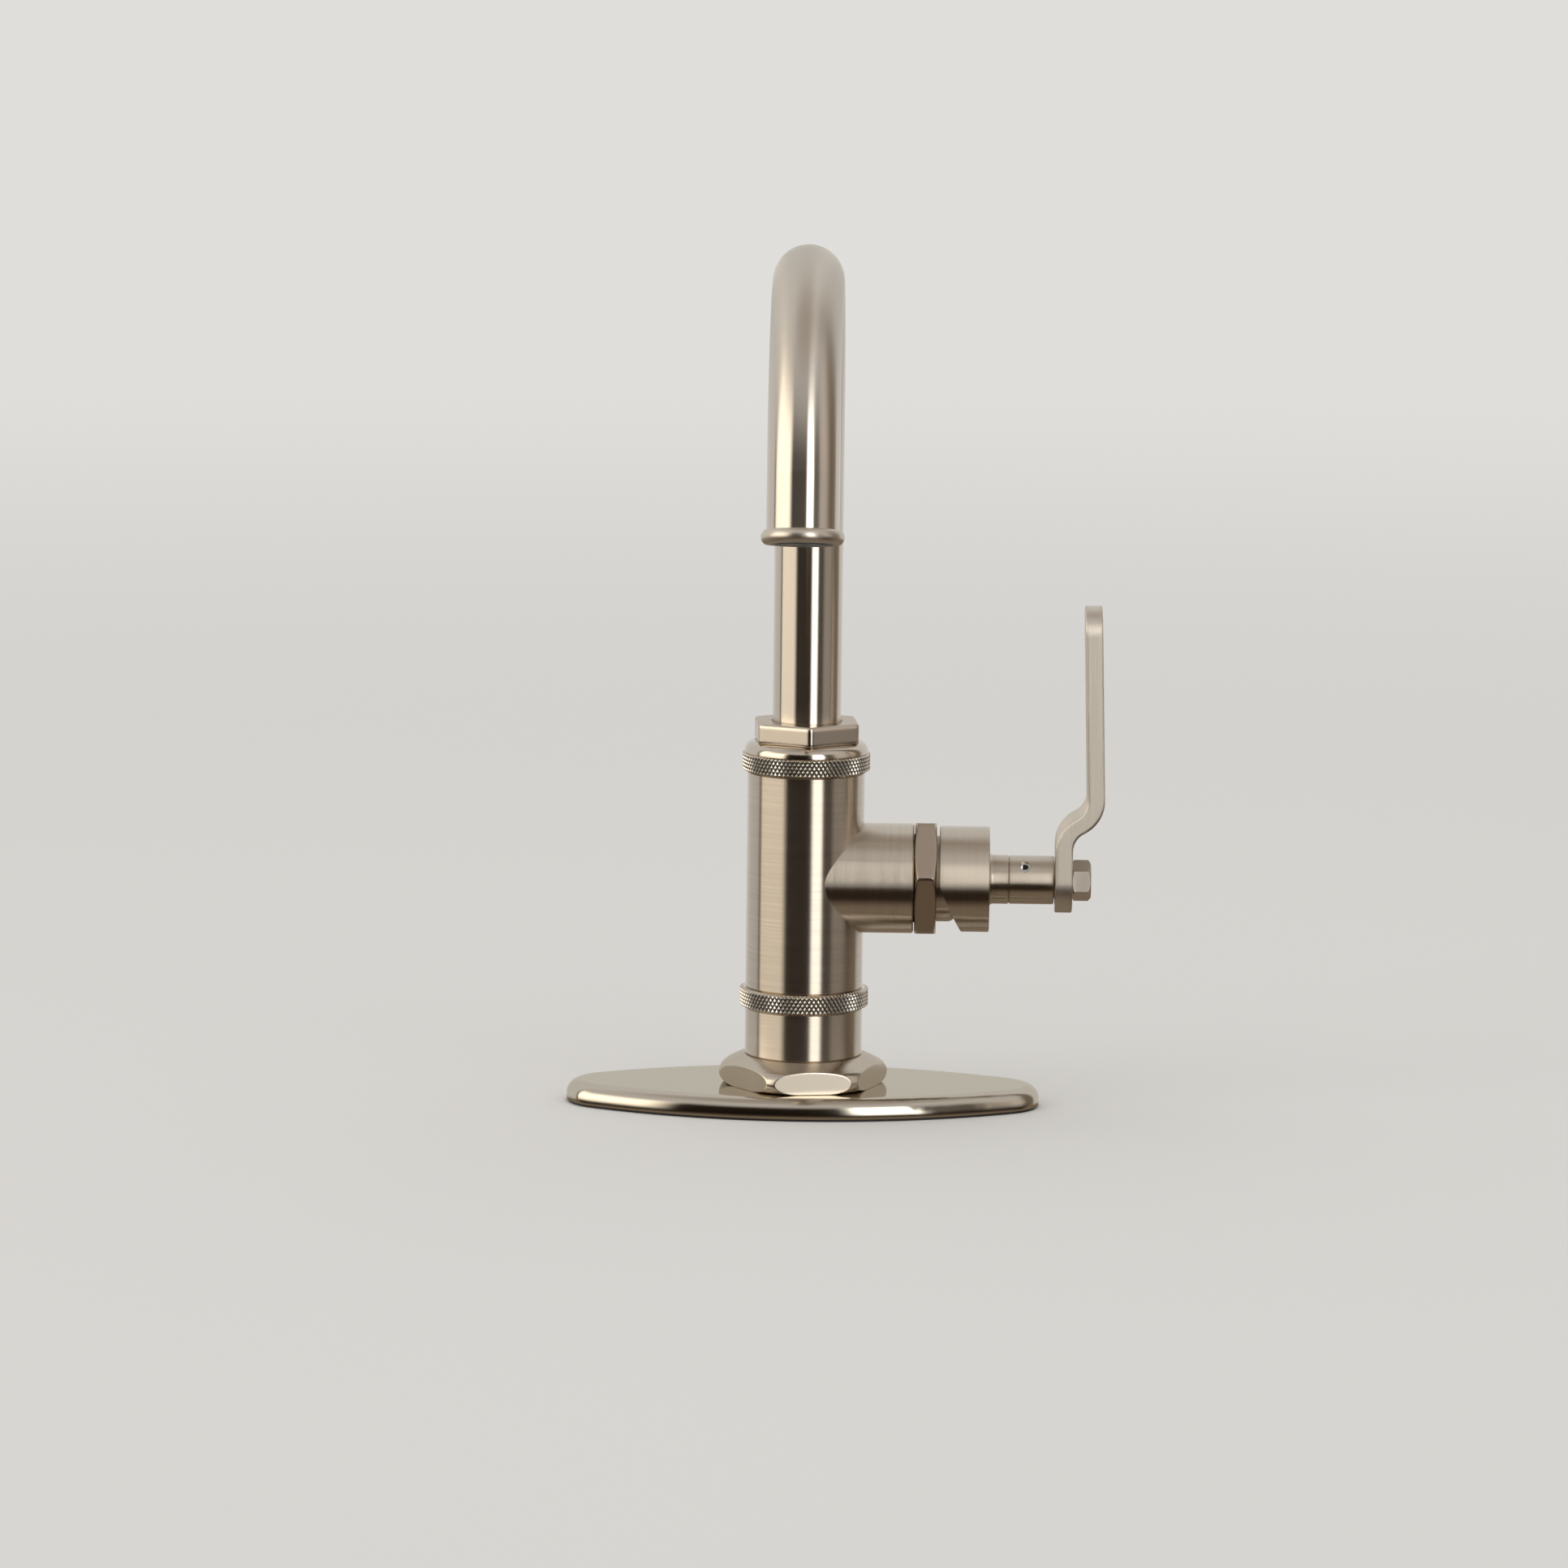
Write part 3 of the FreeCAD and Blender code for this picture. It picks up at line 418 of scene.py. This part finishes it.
def spout_nickel():
    """The spout is brushed in rings round the tube, up the riser, over the arch and down."""
    n = Nodes(bpy.data.materials.new("spout_nickel"))
    centre = (0, -arch_radius, tube_high.z - tube_radius - arch_radius)
    x, across, up = n.split(n.vector("SUBTRACT", n.place(), centre))
    # below the arch's ends a point is held at the end above it, for its angle
    arch_end = n.math("MAXIMUM", n.math("MULTIPLY", across, -tan(drop_angle)), 0.0)
    held = n.math("MAXIMUM", up, arch_end)
    along = n.vector("NORMALIZE", n.join(0.0, n.math("MULTIPLY", held, -1.0), across))
    angle = n.math("ARCTAN2", held, across)
    past = n.math("MULTIPLY", n.math("SUBTRACT", held, up), n.math("SIGN", across))
    length = n.math("SUBTRACT", n.math("MULTIPLY", angle, arch_radius), past)
    streaks = n.join(length, x, n.length(n.join(0.0, across, held)))
    return n.end(streaked_nickel(n, streaks, n.turned(along), roughness=0.22, anisotropy=1.0,
                                 colour=bright_nickel, depth=0.12))


lever_edge = 1.2 * MM
lever_front_lean = 0.13


def lever_nickel():
    """The lever is brushed along its length, its edges eased and its front leant outwards."""
    n = Nodes(bpy.data.materials.new("lever_nickel"))
    x, y, z = n.split(n.place())
    facing = n.turned(n.eased(lever_edge), "NORMAL", back=True)
    lean = n.math("MAXIMUM", n.math("MULTIPLY", n.split(facing)[1], -lever_front_lean), 0.0)
    facing = n.vector("NORMALIZE", n.vector("ADD", facing, n.join(lean, 0.0, 0.0)))
    across = n.vector("NORMALIZE", n.vector("CROSS_PRODUCT", upright, facing))
    streaks = n.join(n.math("ADD", x, y), 0.0, z)
    return n.end(streaked_nickel(n, streaks, n.turned(across), roughness=0.48, anisotropy=0.7,
                                 colour=lever_tone, depth=0.8, normal=n.turned(facing, "NORMAL")))


# ---------------------------------------------------------------- other finishes
haze_scale = 90.0
haze_roughness = 0.06
hair_scale = (900.0, 900.0, 4200.0)
hair_height = 0.0006 * MM
hair_bump = 0.5


def polished_nickel(name, roughness, edge, colour=nickel, rim_tint=(0.8, 0.77, 0.72)):
    """Buffed nickel with a trace of haze and hairline marks, its edges eased."""
    n = Nodes(bpy.data.materials.new(name))
    place = n.place()
    haze = n.noise(place, haze_scale, 3.0)
    hairs = n.noise(n.vector("MULTIPLY", place, hair_scale))
    rough = n.math("ADD", n.math("MULTIPLY", haze, haze_roughness), roughness - haze_roughness / 2)
    bump = n.add("ShaderNodeBump", {}, {
        "Strength": hair_bump, "Distance": hair_height, "Height": hairs, "Normal": n.eased(edge)})
    return n.end(n.add("ShaderNodeBsdfPrincipled", {}, {
        "Base Color": colour, "Metallic": 1.0, "Roughness": rough, "Normal": bump,
        "Specular Tint": rim_tint}))


# painted shade for the knurl's grooves and painted highlight for its diamond tips
painted_groove_shade = (0.03, 0.025, 0.02)
painted_tip_highlight = (0.92, 0.88, 0.80)
groove_roughness = 0.38
tip_roughness = 0.18
shoulder_roughness = 0.13
band_fade = 0.02 * MM


def knurl_finish_and_painted_light(name, root, tip, low, high):
    """Cut nickel: painted highlight makes the diamonds' tips bright and painted shade makes the
    grooves dark, the grooves also duller; plain elsewhere.
    """
    n = Nodes(bpy.data.materials.new(name))
    x, y, z = n.split(n.place())
    out = n.steps(n.length(n.join(x, y, 0.0)), root, tip, False)
    change = n.math("MULTIPLY", out, tip_roughness - groove_roughness)
    rough = n.math("ADD", change, groove_roughness)
    band = n.math("MULTIPLY", n.steps(z, low, low + band_fade), n.steps(z, high, high - band_fade))
    change = n.math("MULTIPLY", band, n.math("SUBTRACT", rough, shoulder_roughness))
    rough = n.math("ADD", change, shoulder_roughness)
    # inside the knurled band the colour runs from painted shade in the grooves to painted highlight
    # on the tips
    tone = n.mix(band, nickel, n.mix(out, painted_groove_shade, painted_tip_highlight))
    return n.end(n.add("ShaderNodeBsdfPrincipled", {}, {
        "Base Color": tone, "Metallic": 1.0, "Roughness": rough}))


grain_scale = 700.0
grain_roughness = 0.12
grain_dark = 0.82
grain_height = 0.03 * MM
grain_bump = 0.3


def plain_finish(name, colour, metallic, roughness):
    """A plain metal, rubber, plastic or ceramic with a fine grain."""
    n = Nodes(bpy.data.materials.new(name))
    grain = n.noise(n.place(), grain_scale, 4.0)
    change = n.math("MULTIPLY", grain, grain_roughness)
    rough = n.math("ADD", change, roughness - grain_roughness / 2)
    tone = n.mix(grain, tuple(part * grain_dark for part in colour), colour)
    bump = n.add("ShaderNodeBump", {}, {
        "Strength": grain_bump, "Distance": grain_height, "Height": grain})
    return n.end(n.add("ShaderNodeBsdfPrincipled", {}, {
        "Base Color": tone, "Metallic": metallic, "Roughness": rough, "Normal": bump}))


def dress(material, *names):
    """Puts one finish on CAD nodes."""
    for name in names:
        for slot in cad_nodes[name].material_slots:
            slot.material = material


# ---------------------------------------------------------------- mesh helpers
merge_gap = 0.015 * MM
level_gap = 0.02 * MM
cut_gap = 0.0001 * MM


def edit_mesh():
    return bmesh.from_edit_mesh(bpy.context.object.data)


def show_picked():
    bmesh.update_edit_mesh(bpy.context.object.data)


def pick_edges(wanted):
    """Selects the edges that pass a test, and no others."""
    bpy.ops.mesh.select_mode(type="EDGE")
    bpy.ops.mesh.select_all(action="DESELECT")
    for edge in edit_mesh().edges:
        edge.select_set(wanted(edge))
    show_picked()


def pick_rim(height):
    """Selects the open edges at one height."""
    pick_edges(lambda edge: edge.is_boundary and all(
        abs(point.co.z - height) < level_gap for point in edge.verts))


def next_loop(radius, height):
    """Extrudes the picked rim to a true circle of a given radius and height."""
    bpy.ops.mesh.extrude_edges_move()
    for point in edit_mesh().verts:
        if point.select:
            share = radius / hypot(point.co.x, point.co.y)
            point.co = (point.co.x * share, point.co.y * share, height)
    show_picked()


def trim(height, keep_below):
    """Cuts the open sheet level at one height."""
    bpy.ops.mesh.select_mode(type="VERT")
    bpy.ops.mesh.select_all(action="SELECT")
    bpy.ops.mesh.bisect(plane_co=(0, 0, height), plane_no=(0, 0, 1), clear_outer=keep_below,
                        clear_inner=not keep_below, threshold=cut_gap)


def close_sheet(top_loops, low_loops):
    """Leads both rims of a round sheet through (radius, height) loops and joins them."""
    heights = [point.co.z for point in edit_mesh().verts]
    for rim, loops in ((max(heights), top_loops), (min(heights), low_loops)):
        pick_rim(rim)
        for radius, height in loops:
            next_loop(radius, height)
    pick_edges(lambda edge: edge.is_boundary)
    bpy.ops.mesh.bridge_edge_loops()
    bpy.ops.mesh.select_all(action="SELECT")
    bpy.ops.mesh.normals_make_consistent(inside=False)


def finish_piece(name, material, smooth_angle):
    """Leaves edit mode, names the piece and gives it its finish."""
    bpy.ops.object.mode_set(mode="OBJECT")
    piece = bpy.context.object
    piece.name = name
    bpy.ops.object.shade_smooth_by_angle(angle=smooth_angle)
    piece.data.materials.clear()
    piece.data.materials.append(material)
    return piece


# ---------------------------------------------------------------- knurled rings
knurl_count = 88
knurl_period = 2.3 * MM
knurl_depth = 0.45 * MM
knurl_slope_width = 0.47 * MM
knurl_edge = 0.6 * MM
knurl_smooth_angle = radians(24)

spigot_bore = 16.05 * MM
neck_bore = 15.6 * MM
shoulder_radius = 19.8 * MM
shoulder_round = 3.2 * MM
shoulder_height = 3.5 * MM
shoulder_steps = 9


def knurled_ring(name, radius, low, high, top_loops, bore):
    """A band of diamonds: a pair of cells, copied up and round, trimmed and closed to a ring."""
    root = radius - knurl_depth
    half_turn = pi / knurl_count
    half_width = root * tan(half_turn)
    middle = (low + high) / 2
    rows = int((high - low) / knurl_period) // 2 + 2
    bpy.ops.object.select_all(action="DESELECT")
    bpy.ops.mesh.primitive_circle_add(vertices=4, radius=1, fill_type="NGON",
                                      location=(0, -root, middle), rotation=(radians(90), 0, 0))
    bpy.ops.object.transform_apply(location=True, rotation=True)
    bpy.ops.object.mode_set(mode="EDIT")
    bpy.ops.mesh.select_all(action="SELECT")
    bpy.ops.transform.resize(value=(half_width, 1, knurl_period / 2),
                             center_override=(0, -root, middle))
    bpy.ops.mesh.inset(thickness=knurl_slope_width, depth=knurl_depth)
    bpy.ops.mesh.select_all(action="SELECT")
    bpy.ops.mesh.duplicate()
    bpy.ops.transform.translate(value=(0, 0, knurl_period / 2))
    bpy.ops.transform.rotate(value=half_turn, orient_axis="Z", center_override=(0, 0, 0))
    bpy.ops.mesh.select_all(action="SELECT")
    bpy.ops.transform.translate(value=(0, 0, -rows * knurl_period))
    for _ in range(2 * rows):
        bpy.ops.mesh.duplicate()
        bpy.ops.transform.translate(value=(0, 0, knurl_period))
    bpy.ops.mesh.select_all(action="SELECT")
    bpy.ops.mesh.spin(steps=knurl_count - 1, dupli=True, angle=2 * pi - 2 * half_turn,
                      center=(0, 0, 0), axis=(0, 0, 1))
    bpy.ops.mesh.select_all(action="SELECT")
    bpy.ops.mesh.remove_doubles(threshold=merge_gap)
    band_low, band_high = low + knurl_edge, high - knurl_edge
    trim(band_high, True)
    trim(band_low, False)
    rim = root - knurl_edge
    close_sheet([(rim, high)] + top_loops, [(rim, low), (bore, low)])
    # the ring's material carries painted shade in its grooves and a painted highlight on its tips
    cut_nickel = knurl_finish_and_painted_light(name + "_nickel", root, radius, band_low, band_high)
    return finish_piece(name, cut_nickel, knurl_smooth_angle)


def shoulder_loops(top):
    """The loops of the domed shoulder, from the side up to the flat top."""
    loops = []
    for step in range(shoulder_steps + 1):
        angle = radians(90) * step / shoulder_steps
        loops.append((shoulder_radius - shoulder_round + shoulder_round * cos(angle),
                      top - shoulder_round + shoulder_round * sin(angle)))
    return loops


# ---------------------------------------------------------------- thread of the mounting shank
thread_pitch = 1.5 * MM
thread_depth = 0.92 * MM
thread_flat = 0.2
thread_top = -1.2 * MM
thread_steps = 64
thread_lead_in = 1.5 * thread_depth
thread_smooth_angle = radians(30)

nipple_length = 9.8 * MM
nipple_radius = 14.1 * MM
shank_bore = 12.8 * MM


def pick_upright(x):
    """Selects the upright edge at one distance from the shank's axis."""
    pick_edges(lambda edge: all(abs(point.co.x - x) < thread_depth / 4 for point in edge.verts))


def threaded_shank(material):
    """The hollow shank: one turn of thread wound up with a screw, and the nipple above it."""
    radius = shank_high.x
    first = shank_low.z - thread_pitch
    middle = (radius - thread_depth / 2, 0, first + thread_pitch / 2)
    bpy.ops.object.select_all(action="DESELECT")
    bpy.ops.mesh.primitive_plane_add(size=1, location=middle, rotation=(radians(90), 0, 0))
    bpy.ops.object.transform_apply(location=True, rotation=True)
    bpy.ops.object.mode_set(mode="EDIT")
    bpy.ops.mesh.select_all(action="SELECT")
    bpy.ops.transform.resize(value=(thread_depth, 1, thread_pitch), center_override=middle)
    bpy.ops.mesh.delete(type="ONLY_FACE")
    pick_upright(radius - thread_depth)
    bpy.ops.mesh.delete(type="EDGE")
    pick_upright(radius)
    bpy.ops.transform.resize(value=(1, 1, thread_flat), center_override=middle)
    bpy.ops.object.mode_set(mode="OBJECT")
    screw = bpy.context.object.modifiers.new("thread", "SCREW")
    screw.axis = "Z"
    screw.angle = 2 * pi
    screw.screw_offset = thread_pitch
    screw.iterations = int(-shank_low.z / thread_pitch) + 2
    screw.steps = thread_steps
    screw.render_steps = thread_steps
    screw.use_merge_vertices = True
    screw.merge_threshold = merge_gap
    bpy.ops.object.modifier_apply(modifier="thread")
    bpy.ops.object.mode_set(mode="EDIT")
    bpy.ops.mesh.select_all(action="SELECT")
    bpy.ops.mesh.remove_doubles(threshold=merge_gap)
    trim(thread_top, True)
    trim(shank_low.z + thread_depth, False)
    step_height = shank_high.z - nipple_length
    top_loops = [
        (radius, thread_top),
        (radius, step_height),
        (nipple_radius, step_height),
        (nipple_radius, shank_high.z),
        (shank_bore, shank_high.z),
    ]
    close_sheet(top_loops, [(radius - thread_lead_in, shank_low.z), (shank_bore, shank_low.z)])
    return finish_piece("shank_thread", material, thread_smooth_angle)


# ---------------------------------------------------------------- making it
photo_camera()
studio_world()
studio_floor()
for lamp_values in soft_lamps:
    soft_lamp(*lamp_values)

plate_nickel = polished_nickel("plate_nickel", 0.09, 2.5 * MM, (0.60, 0.55, 0.47),
                               (0.86, 0.85, 0.80))
flange_nickel = polished_nickel("flange_nickel", 0.22, 0.6 * MM)
hexagon_nickel = polished_nickel("hexagon_nickel", 0.18, 1.5 * MM)
# painted shade: the cartridge nut gets a darker, browner nickel than the other parts, standing in
# for the shade on its facets
painted_shade_nickel = polished_nickel("painted_shade_nickel", 0.20, 0.9 * MM, (0.50, 0.42, 0.345))
foot_nickel = turned_nickel("foot_nickel", upright, roughness=0.26, anisotropy=0.96)
bead_nickel = turned_nickel("bead_nickel", upright, roughness=0.36, anisotropy=0.4,
                            colour=bright_nickel)
handle_nickel = turned_nickel("handle_nickel", sideways, handle_centre)
bolt_nickel = turned_nickel("bolt_nickel", sideways, handle_centre, roughness=0.42,
                            anisotropy=0.3, colour=bright_nickel)
brass = plain_finish("plain_brass", (0.70, 0.52, 0.25), 1.0, 0.32)
bright_steel = plain_finish("bright_steel", (0.68, 0.67, 0.65), 1.0, 0.15)
black_rubber = plain_finish("black_rubber", (0.025, 0.025, 0.027), 0.0, 0.6)
white_acetal = plain_finish("white_acetal", (0.80, 0.80, 0.77), 0.0, 0.42)
lapped_ceramic = plain_finish("lapped_ceramic", (0.88, 0.87, 0.83), 0.0, 0.16)
aerator_plastic = plain_finish("aerator_plastic", (0.055, 0.07, 0.08), 0.0, 0.35)

dress(plate_nickel, "deck_plate")
dress(flange_nickel, "base_hex_flange")
dress(foot_nickel, "body_foot")
dress(body_nickel(), "valve_body")
dress(hexagon_nickel, "spout_nut")
dress(spout_nickel(), "spout_tube")
dress(bead_nickel, "outlet_ring")
dress(painted_shade_nickel, "cartridge_nut")
dress(handle_nickel, "bonnet_sleeve", "handle_cap", "lever_post")
dress(lever_nickel(), "lever")
dress(bolt_nickel, "lever_bolt")
dress(brass, "mounting_nut", "spout_end_fitting")
dress(bright_steel, "post_set_screw", "shank_steel_washer", "lever_spindle", "spindle_pin",
      "aerator_screen")
dress(black_rubber, "deck_gasket", "shank_rubber_washer", "cartridge_seals", "spout_o_rings",
      "aerator_washer")
dress(white_acetal, "spout_bushing", "cartridge_base", "cartridge_housing", "cartridge_rotor",
      "disc_carrier")
dress(lapped_ceramic, "fixed_ceramic_disc", "moving_ceramic_disc")
dress(aerator_plastic, "aerator_housing", "aerator_insert")

lower_knurl = knurled_ring("lower_knurl", lower_ring_high.x, lower_ring_low.z, lower_ring_high.z,
                           [(spigot_bore, lower_ring_high.z)], spigot_bore)
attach(lower_knurl, "faucet_body")
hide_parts("lower_knurled_ring")

band_top = upper_ring_high.z - shoulder_height
crown = [(shoulder_radius, band_top)]
crown += shoulder_loops(upper_ring_high.z)
crown += [(neck_bore, upper_ring_high.z)]
upper_knurl = knurled_ring("upper_knurl", upper_ring_high.x, upper_ring_low.z, band_top, crown,
                           neck_bore)
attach(upper_knurl, "faucet_body")
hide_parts("upper_knurled_ring")

shank_piece = threaded_shank(brass)
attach(shank_piece, "faucet_body")
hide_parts("mounting_shank")

bpy.context.scene.view_settings.view_transform = "Standard"
